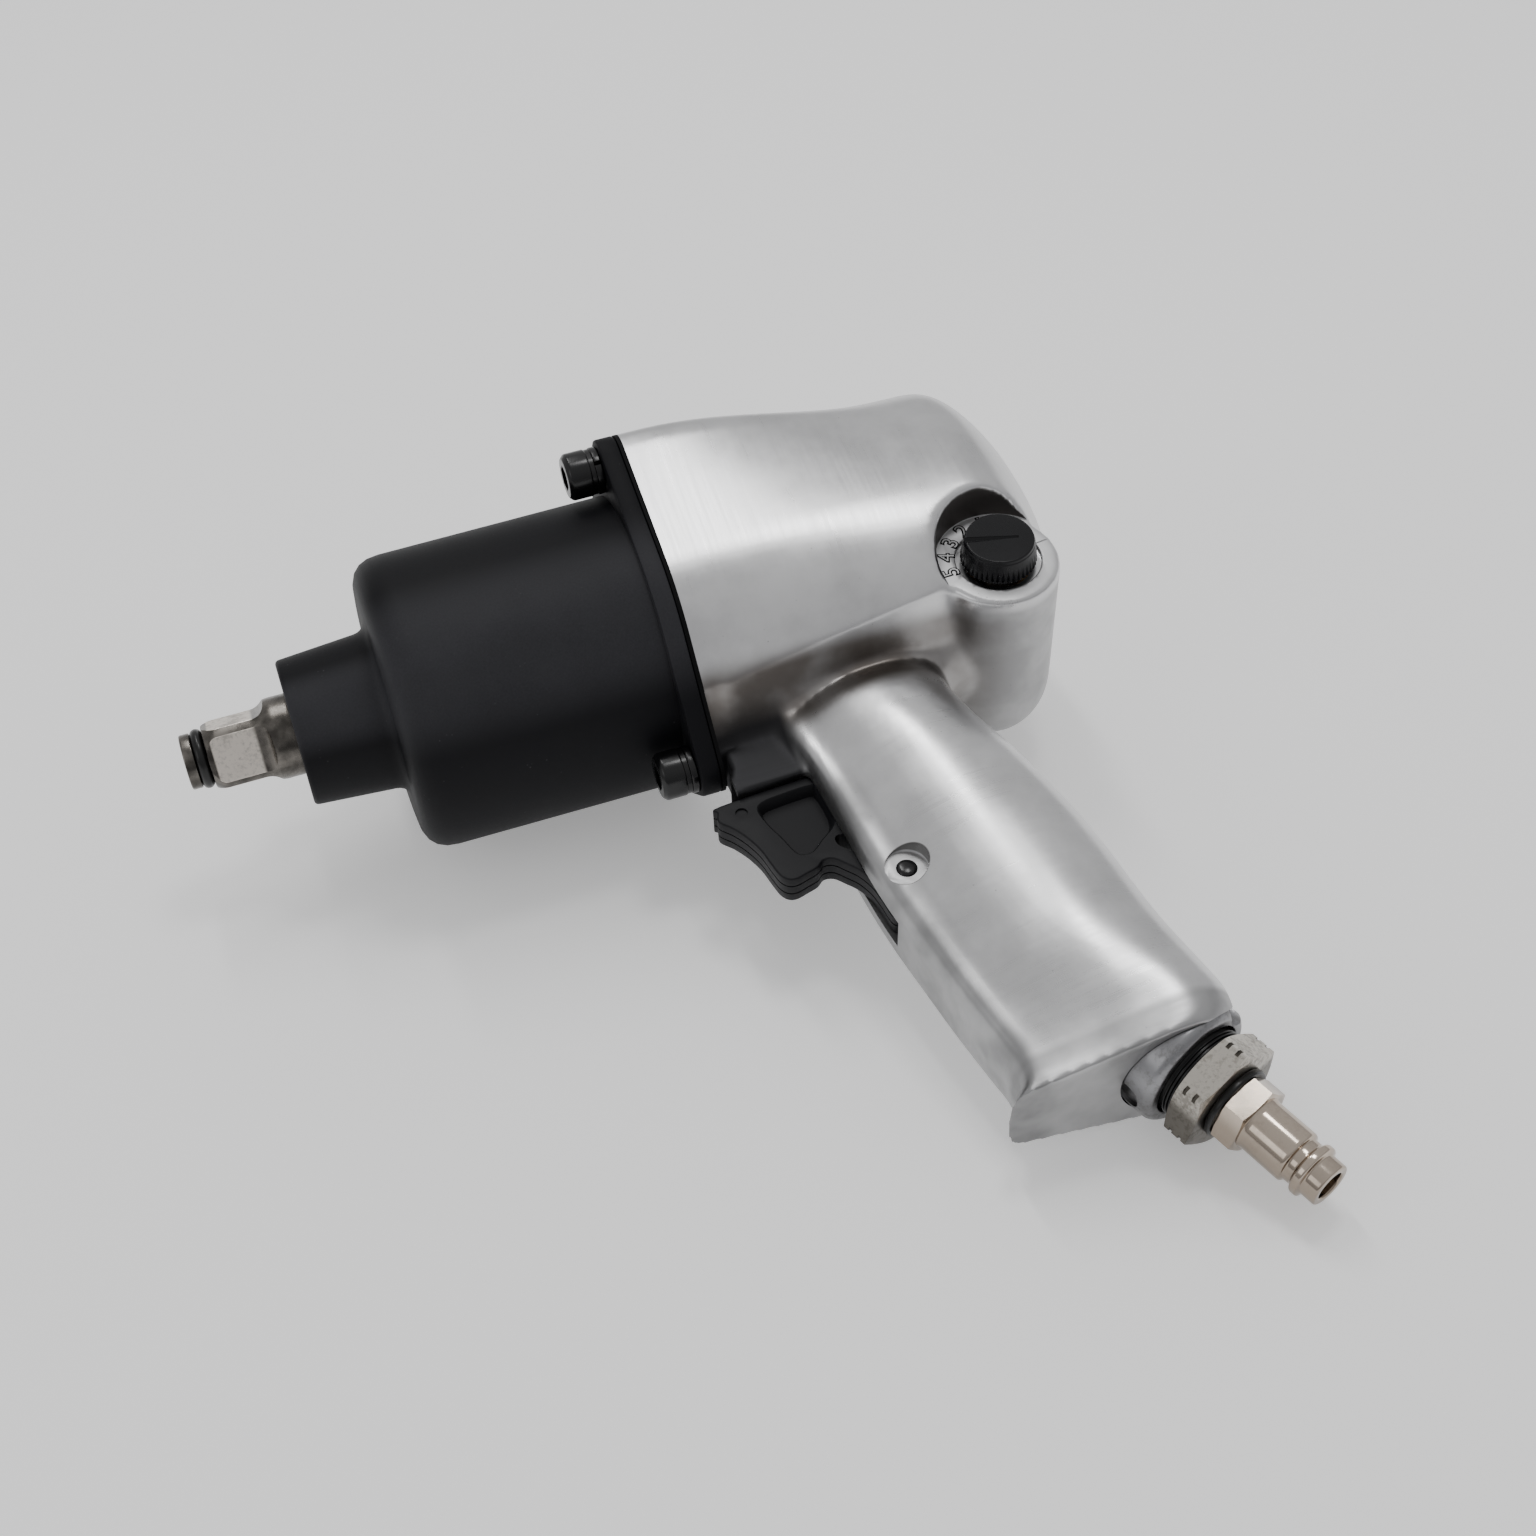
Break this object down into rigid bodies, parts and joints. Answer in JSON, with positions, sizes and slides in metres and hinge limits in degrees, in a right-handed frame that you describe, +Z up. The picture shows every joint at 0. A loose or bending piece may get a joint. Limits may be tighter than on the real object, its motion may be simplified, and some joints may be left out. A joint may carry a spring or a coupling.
{
  "type": "air impact wrench",
  "caption": "Pistol-grip air impact wrench with a half-inch square drive, hammer clutch, vane motor, trigger throttle, power regulator knob and quick-connect air nipple.",
  "frame": {"origin": "middle of the base of the box round the tool as it lies on its right side", "axes": "+X from nose to rear along the drive, +Y from the handle's end towards the body, +Z up, out of the side with the regulator knob"},
  "size_m": [0.1864, 0.2038, 0.0777],
  "materials": {
    "polished_aluminium": "cast and polished, brushed along the grip",
    "black_case": "matt black, fine speckle",
    "black_gasket": "matt black fibre",
    "black_steel": "black oxide, oiled",
    "bright_steel": "ground and hardened",
    "bronze": "turned",
    "cast_iron": "machined",
    "black_plastic": "satin moulded",
    "gloss_black": "gloss moulded",
    "black_rubber": "satin",
    "nickel": "nickel plated",
    "dull_nickel": "dull nickel plated",
    "vane_resin": "fibre resin"
  },
  "bodies": {
    "housing": {"motor_housing": "polished_aluminium", "hammer_case": "black_case", "case_gasket": "black_gasket", "case_screw_1": "black_steel", "case_screw_2": "black_steel", "case_screw_3": "black_steel", "lock_washer_1": "black_steel", "lock_washer_2": "black_steel", "lock_washer_3": "black_steel", "anvil_bushing": "bronze", "motor_cylinder": "cast_iron", "front_end_plate": "cast_iron", "rear_end_plate": "cast_iron", "front_bearing": "bright_steel", "rear_bearing": "bright_steel", "rear_gasket": "black_gasket", "cylinder_dowel": "bright_steel", "trigger_pin": "black_steel", "throttle_sleeve": "bronze", "throttle_spring": "bright_steel", "inlet_bushing": "dull_nickel", "inlet_seal": "black_rubber", "inlet_screen": "bright_steel", "air_nipple": "nickel", "nipple_seal": "black_rubber", "valve_bush": "bronze"},
    "deflector": {"exhaust_deflector": "polished_aluminium"},
    "motor": {"rotor": "bright_steel", "vane_1": "vane_resin", "vane_2": "vane_resin", "vane_3": "vane_resin", "vane_4": "vane_resin", "vane_5": "vane_resin", "vane_6": "vane_resin", "hammer_frame": "cast_iron", "hammer_pin_1": "bright_steel", "hammer_pin_2": "bright_steel", "hammer_1": "bright_steel", "hammer_2": "bright_steel"},
    "anvil": {"anvil": "bright_steel", "socket_ring": "black_rubber"},
    "trigger": {"trigger": "black_plastic"},
    "throttle": {"throttle_rod": "bright_steel"},
    "regulator": {"regulator_knob": "gloss_black", "reverse_valve": "bright_steel", "valve_seal": "black_rubber"}
  },
  "joints": [
    {"name": "rotor_spin", "type": "hinge", "parent": "housing", "child": "motor", "pos_m": [0.01025, 0.06675, 0.03594], "axis": [-1, 0, 0], "continuous": true},
    {"name": "anvil_spin", "type": "hinge", "parent": "housing", "child": "anvil", "pos_m": [0.01025, 0.06675, 0.03594], "axis": [-1, 0, 0], "continuous": true},
    {"name": "trigger_squeeze", "type": "hinge", "parent": "housing", "child": "trigger", "pos_m": [0.03375, -0.0162, 0.02273], "axis": [0, 0.1573, -0.9876], "range_deg": [0, 9], "stiffness_Nm_per_rad": 2, "springref_deg": -5.73},
    {"name": "throttle_slide", "type": "slide", "parent": "housing", "child": "throttle", "axis": [1, 0, 0], "range_m": [0, 0.0033], "deforming": ["throttle_spring"]},
    {"name": "regulator_turn", "type": "hinge", "parent": "housing", "child": "regulator", "pos_m": [0.07685, 0.04127, 0.03189], "axis": [0, -0.1573, 0.9876], "range_deg": [-77, 17]},
    {"name": "deflector_turn", "type": "hinge", "parent": "housing", "child": "deflector", "pos_m": [0.07115, -0.07585, 0.01324], "axis": [0.3535, -0.9238, -0.1471], "continuous": true}
  ],
  "couplings": [
    {"joint": "anvil_spin", "follows": "rotor_spin", "ratio": 1},
    {"joint": "throttle_slide", "follows": "trigger_squeeze", "m_per_rad": 0.021}
  ]
}
